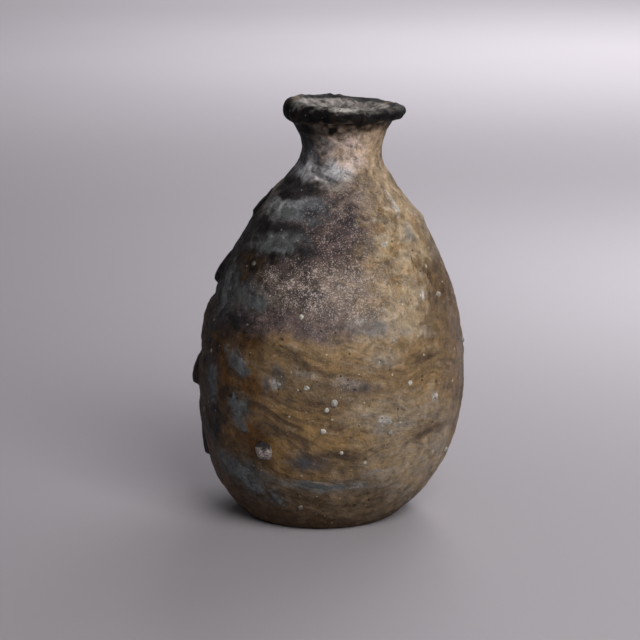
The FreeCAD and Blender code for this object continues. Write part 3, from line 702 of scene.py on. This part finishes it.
class Shader:
    """A material's node tree with short names for the nodes it needs; texture sizes are in mm."""

    def __init__(self, name):
        self.material = bpy.data.materials.new(name)
        self.material.use_nodes = True
        self.tree = self.material.node_tree
        self.surface = self.tree.nodes["Principled BSDF"]
        self.place = self.tree.nodes.new("ShaderNodeTexCoord").outputs["Object"]

    def put(self, socket, value):
        if isinstance(value, bpy.types.NodeSocket):
            self.tree.links.new(value, socket)
        elif isinstance(value, tuple):
            socket.default_value = value + (1.0,) * (len(socket.default_value) - len(value))
        else:
            socket.default_value = value

    def set(self, name, value):
        self.put(self.surface.inputs[name], value)

    def node(self, kind, output, settings=None, **inputs):
        made = self.tree.nodes.new("ShaderNode" + kind)
        for key, value in (settings or {}).items():
            setattr(made, key, value)
        for key, value in inputs.items():
            self.put(made.inputs[key.replace("_", " ")], value)
        return made.outputs[output]

    def calculate(self, kind, operation, values):
        made = self.tree.nodes.new("ShaderNode" + kind)
        made.operation = operation
        for socket, value in zip(made.inputs, values):
            self.put(socket, value)
        return made.outputs[0]

    def math(self, operation, *values):
        return self.calculate("Math", operation, values)

    def vector(self, operation, *values):
        return self.calculate("VectorMath", operation, values)

    def times(self, first, second):
        return self.math("MULTIPLY", first, second)

    def plus(self, first, second):
        return self.math("ADD", first, second)

    def line(self, value, slope, start):
        return self.plus(self.times(value, slope), start)

    def between(self, value, low, high, start=0.0, end=1.0):
        """value eased from start to end as it goes from low to high."""
        return self.node("MapRange", "Result", {"interpolation_type": "SMOOTHSTEP"}, Value=value,
                         From_Min=low, From_Max=high, To_Min=start, To_Max=end)

    def paint(self, name, kind="Fac"):
        return self.node("Attribute", kind, {"attribute_name": name})

    def sized(self, size, at=None, tilt=0.0):
        """Places counted in steps of some mm, one number or three, square to the leaning axis or tilted."""
        size = size if isinstance(size, tuple) else (size, size, size)
        return self.node("Mapping", "Vector", {"vector_type": "TEXTURE"}, Vector=at or self.place,
                         Rotation=(0.0, LEAN + math.radians(tilt), 0.0),
                         Scale=tuple(part * MM for part in size))

    def drifting(self, size, amount):
        """Places moved about by some mm, in clouds of a size, so that what is drawn there wanders."""
        cloud = self.node("TexNoise", "Color", Vector=self.sized(size), Scale=1.0, Detail=1.0)
        off = self.vector("SUBTRACT", cloud, (0.5, 0.5, 0.5))
        return self.vector("ADD", self.place, self.vector("MULTIPLY", off, (amount * MM,) * 3))

    def grain(self, size, detail=4.0, roughness=0.6, distortion=0.0, at=None, tilt=0.0):
        return self.node("TexNoise", "Fac", Vector=self.sized(size, at, tilt), Scale=1.0, Detail=detail,
                         Roughness=roughness, Distortion=distortion)

    def specks(self, size, radius, kept):
        """1 in round specks of a share of the cells, kept from 0 to 1, else 0."""
        cells = self.tree.nodes.new("ShaderNodeTexVoronoi")
        self.put(cells.inputs["Vector"], self.sized(size))
        cells.inputs["Scale"].default_value = 1.0
        chance = self.node("SeparateColor", "Red", Color=cells.outputs["Color"])
        body = self.node("SeparateColor", "Green", Color=cells.outputs["Color"])
        reach = self.times(radius, self.line(body, 0.7, 0.45))
        near = self.between(self.math("SUBTRACT", reach, cells.outputs["Distance"]), -0.04, 0.04)
        return self.times(near, self.math("LESS_THAN", chance, kept))

    def blend(self, share, first, second):
        """Two numbers mixed."""
        return self.plus(first, self.times(share, self.math("SUBTRACT", second, first)))

    def mix(self, share, first, second, blend="MIX"):
        """Two colours mixed."""
        made = self.tree.nodes.new("ShaderNodeMixRGB")
        made.blend_type = blend
        self.put(made.inputs["Fac"], share)
        self.put(made.inputs["Color1"], first)
        self.put(made.inputs["Color2"], second)
        return made.outputs["Color"]

    def grey(self, level):
        return self.node("CombineColor", "Color", Red=level, Green=level, Blue=level)

    def shaded(self, colour, shade):
        """A colour made lighter or darker by a number."""
        return self.mix(1.0, colour, self.grey(shade), "MULTIPLY")

    def bump(self, height, depth):
        """Relief in mm: a height from 0 to 1 that stands for this depth."""
        self.set("Normal", self.node("Bump", "Normal", Height=height, Distance=depth * MM, Strength=1.0))


def fired_layers(shader):
    """Colour, roughness and relief of clay and the ash melted on it, from the zones' paint."""
    streaky, glassy, sown = (shader.paint(part) for part in ("streaky", "glassy", "sown"))
    wander = shader.drifting(34.0, 26.0)
    swirl = shader.drifting(9.0, 7.0)
    broad = shader.grain((26, 26, 4.5), 8.0, 0.62, 0.0, wander, 7)
    blotch = shader.grain(9.0, 9.0, 0.68, 0.4, swirl)
    thin = shader.grain((20, 20, 1.1), 6.0, 0.62, 0.0, wander, 4)
    grit = shader.grain(1.2, 5.0, 0.80)
    coarse = shader.grain(3.2, 5.0, 0.72, 0.3, swirl)
    mottle = shader.grain(6.5, 6.0, 0.66, 0.5, swirl)
    veins = shader.blend(streaky, shader.between(blotch, 0.42, 0.62), shader.between(broad, 0.44, 0.62))
    main = shader.paint("main", "Color")
    colour = shader.mix(veins, main, shader.paint("vein", "Color"))
    # Dark iron stains and pale ash stains, streaked where the zone is streaked.
    dark = shader.blend(streaky, shader.grain(8.0, 8.0, 0.72, 0.2, swirl),
                        shader.grain((18, 18, 4.0), 8.0, 0.64, 0.0, wander, 9))
    colour = shader.mix(shader.times(shader.between(dark, 0.54, 0.66), 0.6), colour, (0.050, 0.030, 0.016))
    pale = shader.blend(streaky, shader.grain(7.0, 6.0, 0.66, 0.5, wander),
                        shader.grain((15, 15, 3.4), 8.0, 0.64, 0.0, swirl, 8))
    bleached = shader.node("RGBToBW", "Val", Color=main)
    ashen = shader.mix(0.36, shader.shaded(main, 1.15), shader.grey(shader.times(bleached, 1.45)))
    ashy = shader.times(shader.between(pale, 0.53, 0.64), shader.between(glassy, 0.2, 0.5, 0.15, 0.75))
    colour = shader.mix(ashy, colour, ashen)
    # Mottles, clouds and the potter's drawn lines lighten and darken it; bare zones are gritty.
    patchy = shader.plus(shader.between(coarse, 0.36, 0.64, -0.22, 0.22),
                         shader.between(mottle, 0.36, 0.66, -0.32, 0.38))
    shade = shader.plus(shader.times(patchy, shader.line(streaky, -0.6, 1.0)), 1.0)
    speckle = shader.times(shader.plus(grit, -0.5), shader.line(sown, 2.6, 1.1))
    lines = shader.times(shader.line(thin, 1.3, -0.65), streaky)
    cloud = shader.line(shader.grain(17.0, 6.0, 0.7), 1.2, -0.6)
    shade = shader.plus(shader.plus(shade, speckle), shader.plus(lines, cloud))
    colour = shader.shaded(colour, shader.math("MAXIMUM", shade, 0.12))
    # Small pits; pale crumbs of feldspar, brightened on glassy zones as painted glints; and the sparkle of
    # half-melted grains, painted as pale highlight specks in the colour.
    pits = shader.specks(3.8, 0.17, 0.24)
    crumbs_and_glints = shader.math("MAXIMUM", shader.specks(4.2, 0.13, 0.30), shader.specks(9.0, 0.12, 0.22))
    crowd = shader.plus(shader.times(sown, 0.06), shader.times(shader.plus(coarse, -0.5), 0.45))
    glint = shader.between(shader.plus(shader.grain(0.75, 2.0, 0.7), crowd), 0.60, 0.66)
    sparkle = shader.times(glint, sown)
    colour = shader.mix(shader.times(pits, 0.65), colour, (0.018, 0.011, 0.007))
    colour = shader.mix(shader.times(sparkle, 0.9), colour, (0.70, 0.59, 0.54))
    colour = shader.mix(shader.times(crumbs_and_glints, shader.line(glassy, 0.9, 0.1)), colour,
                        (0.80, 0.74, 0.62))
    rough = shader.line(glassy, -0.62, 0.80)
    rough = shader.plus(rough, shader.times(shader.plus(grit, -0.5), 0.6))
    rough = shader.plus(rough, shader.times(sparkle, -0.3))
    height = shader.plus(shader.times(grit, 0.6), shader.times(shader.grain(0.55, 3.0, 0.7), 0.3))
    height = shader.plus(height, shader.plus(shader.times(thin, 0.15), shader.times(coarse, 0.9)))
    height = shader.plus(height, shader.times(shader.plus(sparkle, crumbs_and_glints), 0.35))
    height = shader.plus(height, shader.times(pits, -0.8))
    return colour, rough, height


def fired_surface(name, specular, extra_gloss=0.0):
    """The fired clay's own surface, duller or glossier."""
    shader = Shader(name)
    colour, rough, height = fired_layers(shader)
    shader.set("Base Color", colour)
    shader.set("Roughness", shader.math("MAXIMUM", shader.plus(rough, -extra_gloss), 0.16))
    shader.set("Specular IOR Level", specular)
    shader.bump(height, 0.6)
    return shader.material


def grey_ash():
    """Matt, powdery blue-grey ash that fades out over the clay's own colours; its pale grey is partly a
    painted reflection of the floor and backdrop.
    """
    shader = Shader("grey_ash")
    colour, rough, height = fired_layers(shader)
    blotch = shader.grain(6.0, 8.0, 0.75, 0.3)
    powder = shader.grain(1.1, 6.0, 0.85)
    ash = shader.mix(shader.between(blotch, 0.36, 0.66), (0.058, 0.063, 0.066), (0.150, 0.160, 0.164))
    ash = shader.shaded(ash, shader.between(powder, 0.30, 0.70, 0.55, 1.5))
    ash = shader.mix(shader.times(shader.specks(3.0, 0.14, 0.25), 0.6), ash, (0.03, 0.022, 0.02))
    frayed = shader.plus(shader.paint("cover"), shader.times(shader.plus(powder, -0.5), 0.9))
    frayed = shader.plus(frayed, shader.times(shader.plus(blotch, -0.5), 1.8))
    cover = shader.between(frayed, 0.05, 1.0)
    shader.set("Base Color", shader.mix(cover, colour, ash))
    shader.set("Roughness", shader.blend(cover, rough, shader.line(blotch, 0.3, 0.6)))
    shader.set("Specular IOR Level", 0.3)
    shader.bump(shader.blend(cover, height, shader.plus(powder, shader.times(blotch, 0.8))), 0.45)
    return shader.material


# How far left the grains begin to darken and are fully dark, and the same by height towards the foot.
LEFT_DARK_FROM, LEFT_DARK_TO = 22.0, 31.0
LOW_DARK_FROM, LOW_DARK_TO = 24.0, 14.0


def feldspar():
    """Ivory feldspar, half melted and milky, some grains much greyer than others."""
    shader = Shader("feldspar")
    milk = shader.grain(1.2, 4.0, 0.6)
    bright = shader.between(shader.grain(14.0, 2.0), 0.40, 0.62)
    colour = shader.mix(shader.between(milk, 0.35, 0.65), (0.40, 0.36, 0.29), (0.74, 0.73, 0.67))
    colour = shader.mix(bright, shader.shaded(colour, 0.5), colour)
    colour = shader.mix(shader.between(shader.grain(0.7, 3.0), 0.56, 0.70), colour, (0.20, 0.15, 0.10))
    # The grains are made darker towards the bottle's left side and towards the foot.
    leftward = shader.times(shader.node("SeparateXYZ", "X", Vector=shader.place), -1.0)
    darker_leftward = shader.between(leftward, LEFT_DARK_FROM * MM, LEFT_DARK_TO * MM)
    darker_downward = shader.between(shader.times(shader.node("SeparateXYZ", "Z", Vector=shader.place), -1.0),
                           -LOW_DARK_FROM * MM, -LOW_DARK_TO * MM)
    colour = shader.mix(shader.times(shader.math("MAXIMUM", darker_leftward, darker_downward), 0.9), colour, (0.06, 0.05, 0.04))
    shader.set("Base Color", colour)
    shader.set("Roughness", shader.line(milk, 0.4, 0.15))
    shader.set("Subsurface Weight", 0.15)
    shader.set("Subsurface Radius", (0.0012, 0.001, 0.0008))
    shader.bump(milk, 0.3)
    return shader.material


def pebble_stone():
    """Dull pink-grey granular stone with painted white glints, its top half darkened by a painted shadow."""
    shader = Shader("pebble_stone")
    grit = shader.grain(1.0, 5.0, 0.85)
    patch = shader.grain(4.5, 4.0, 0.6)
    colour = shader.mix(shader.between(grit, 0.38, 0.60), (0.085, 0.062, 0.056), (0.55, 0.46, 0.43))
    colour = shader.mix(shader.times(shader.between(patch, 0.48, 0.60), 0.85), colour, (0.035, 0.025, 0.022))
    # Painted highlight: white specks stand for the glints on the pebble's grit.
    colour = shader.mix(shader.times(shader.specks(1.7, 0.30, 0.34), 0.9), colour, (0.86, 0.82, 0.78))
    # Painted shadow: the top of the pebble is darkened for the shade on its upper rim.
    low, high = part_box("fused_pebble")
    upward = shader.node("SeparateXYZ", "Z", Vector=shader.place)
    ragged = shader.plus(upward, shader.times(shader.plus(patch, -0.5), 0.005))
    painted_top_shadow = shader.between(ragged, (low[2] + high[2]) / 2 + 0.0008, (low[2] + high[2]) / 2 + 0.0030)
    colour = shader.mix(painted_top_shadow, colour, (0.016, 0.012, 0.012))
    shader.set("Base Color", colour)
    shader.set("Roughness", shader.line(grit, 0.4, 0.35))
    shader.bump(grit, 0.7)
    return shader.material


def melted_crumb():
    """Black crumb with a rough glassy skin and ash-brown patches."""
    shader = Shader("melted_crumb")
    lump = shader.grain(4.0, 6.0, 0.68, 0.3)
    grit = shader.grain(1.0, 5.0, 0.75)
    colour = shader.mix(shader.between(lump, 0.48, 0.66), (0.006, 0.005, 0.006), (0.035, 0.027, 0.022))
    colour = shader.mix(shader.times(shader.between(grit, 0.60, 0.75), 0.3), colour, (0.16, 0.155, 0.155))
    shader.set("Base Color", colour)
    shader.set("Roughness", shader.line(lump, 0.6, 0.15))
    shader.set("Specular IOR Level", 0.3)
    shader.bump(shader.plus(grit, lump), 0.5)
    return shader.material


def floor_paper():
    """Mauve-grey studio paper that the lights turn pale, its dullness slightly uneven."""
    shader = Shader("floor_paper")
    cloud = shader.grain(600.0, 3.0, 0.5)
    shader.set("Base Color", shader.mix(cloud, (0.38, 0.359, 0.39), (0.415, 0.392, 0.425)))
    shader.set("Roughness", shader.line(shader.grain(3.0), 0.1, 0.85))
    return shader.material


# -------------------- pieces

clay = fired_surface("fired_clay_surface", 0.2)
scorched = fired_surface("scorched_rim_surface", 0.08)
melted = fired_surface("melted_ash_surface", 0.5, 0.05)

stand_for(base_slab_piece(), "base_slab", clay)
inner_seams = (SLAB, BELLY_SEAM[1], NECK_SEAM[1], RIM_SEAM[1])
for number, section in enumerate(("lower_wall", "upper_wall", "neck")):
    inner = inner_rows(inner_seams[number], inner_seams[number + 1])
    wall = wall_section(section + "_clay", ends[number], ends[number + 1], inner)
    stand_for(wall, section, clay)
stand_for(wall_section("mouth_rim_clay", ends[3], ends[4], outside[:0]),
          "mouth_rim", scorched)

stand_for(skin("ash_glaze_skin", ash_glaze_thickness()), "ash_glaze", melted)
# The grey crusts: ash, and partly a painted reflection of the pale floor and backdrop on the glossy left
# side.
stand_for(skin("grey_ash_and_reflection_flakes", crust_and_reflection_thickness()), "grey_ash_crusts", grey_ash())
stand_for(skin("kiln_crumb_lumps", lump_thickness()), "kiln_lumps", melted_crumb())
stand_for(feldspar_grains_piece(), "feldspar_grains", feldspar())
stand_for(fused_pebble_piece(), "fused_pebble", pebble_stone())


# -------------------- studio

FLOOR_HALF = 6.0
FLOOR_DROP = 0.0002
WORLD_LIGHT = 0.07
WORLD_SEEN = 0.55
CAMERA_LENS = 114.5
CAMERA_PLACE = (-0.0006, -1.0529, 0.3463)
CAMERA_DOWN = math.radians(13.05)
WARM = (1.0, 0.985, 0.96)
WHITE = (1.0, 0.985, 1.0)
BOTTLE_MIDDLE = (0, 0, 0.1)

# The key light, then the lights overhead that wash the floor round the bottle: name, azimuth,
# elevation, distance, size, power, colour, the point it looks at, and its spread in degrees.
LIGHTS = [
    ("key", -63, 37, 1.3, 0.8, 13.0, WARM, BOTTLE_MIDDLE, 180),
    ("near_wash", 0, 90, 0.5, 0.5, 3.2, WHITE, (0.42, 0.55, 0), 180),
    ("far_wash", 0, 90, 1.8, 1.2, 36.0, WHITE, (0.7, 2.4, 0), 135),
    ("back_wash", 0, 90, 3.0, 1.5, 160.0, WHITE, (0.3, 6.5, 0), 150),
    ("left_wash", 0, 90, 2.0, 1.5, 34.0, WHITE, (-3.2, 0, 0), 110),
    ("right_wash", 0, 90, 2.0, 1.5, 34.0, WHITE, (3.2, 0, 0), 110),
    ("front_wash", 0, 90, 1.6, 1.2, 22.0, WHITE, (1.8, -1.8, 0), 110),
]


def area_light(name, azimuth, elevation, distance, size, power, colour, target, spread):
    """A soft square light, placed round a point it looks at; azimuths as on the bottle."""
    light = bpy.data.lights.new(name, "AREA")
    light.shape = "SQUARE"
    light.size = size
    light.energy = power
    light.color = colour
    light.spread = math.radians(spread)
    turn, tilt = math.radians(azimuth), math.radians(elevation)
    away = Vector((math.cos(turn) * math.cos(tilt), math.sin(turn) * math.cos(tilt), math.sin(tilt)))
    lamp = bpy.data.objects.new(name, light)
    lamp.location = Vector(target) + away * distance
    lamp.rotation_euler = away.to_track_quat("Z", "Y").to_euler()
    bpy.context.scene.collection.objects.link(lamp)


def studio_floor():
    mesh = bpy.data.meshes.new("studio_floor")
    corners = [(-1, -1), (1, -1), (1, 1), (-1, 1)]
    mesh.from_pydata([(x * FLOOR_HALF, y * FLOOR_HALF, 0) for x, y in corners], [], [(0, 1, 2, 3)])
    floor = bpy.data.objects.new("studio_floor", mesh)
    floor.location.z = -FLOOR_DROP
    bpy.context.scene.collection.objects.link(floor)
    mesh.materials.append(floor_paper())


def pale_world():
    world = bpy.data.worlds.new("pale_studio")
    world.use_nodes = True
    nodes, links = world.node_tree.nodes, world.node_tree.links
    background = nodes["Background"]
    background.inputs["Color"].default_value = (0.92, 0.90, 0.94, 1)
    # A weak light, but a pale backdrop where it is looked at.
    seen = nodes.new("ShaderNodeMapRange")
    seen.inputs["To Min"].default_value = WORLD_LIGHT
    seen.inputs["To Max"].default_value = WORLD_SEEN
    links.new(nodes.new("ShaderNodeLightPath").outputs["Is Camera Ray"], seen.inputs["Value"])
    links.new(seen.outputs["Result"], background.inputs["Strength"])
    bpy.context.scene.world = world


def front_camera():
    """A long lens in front of the bottle and a little above it, looking 13 degrees down."""
    camera = bpy.data.cameras.new("camera")
    camera.sensor_width = 36.0
    camera.lens = CAMERA_LENS
    camera.clip_start, camera.clip_end = 0.05, 60.0
    holder = bpy.data.objects.new("camera", camera)
    holder.location = CAMERA_PLACE
    holder.rotation_euler = (math.radians(90) - CAMERA_DOWN, 0, 0)
    bpy.context.scene.collection.objects.link(holder)
    bpy.context.scene.camera = holder


studio_floor()
pale_world()
front_camera()
for light in LIGHTS:
    area_light(*light)
bpy.context.scene.view_settings.view_transform = "Standard"
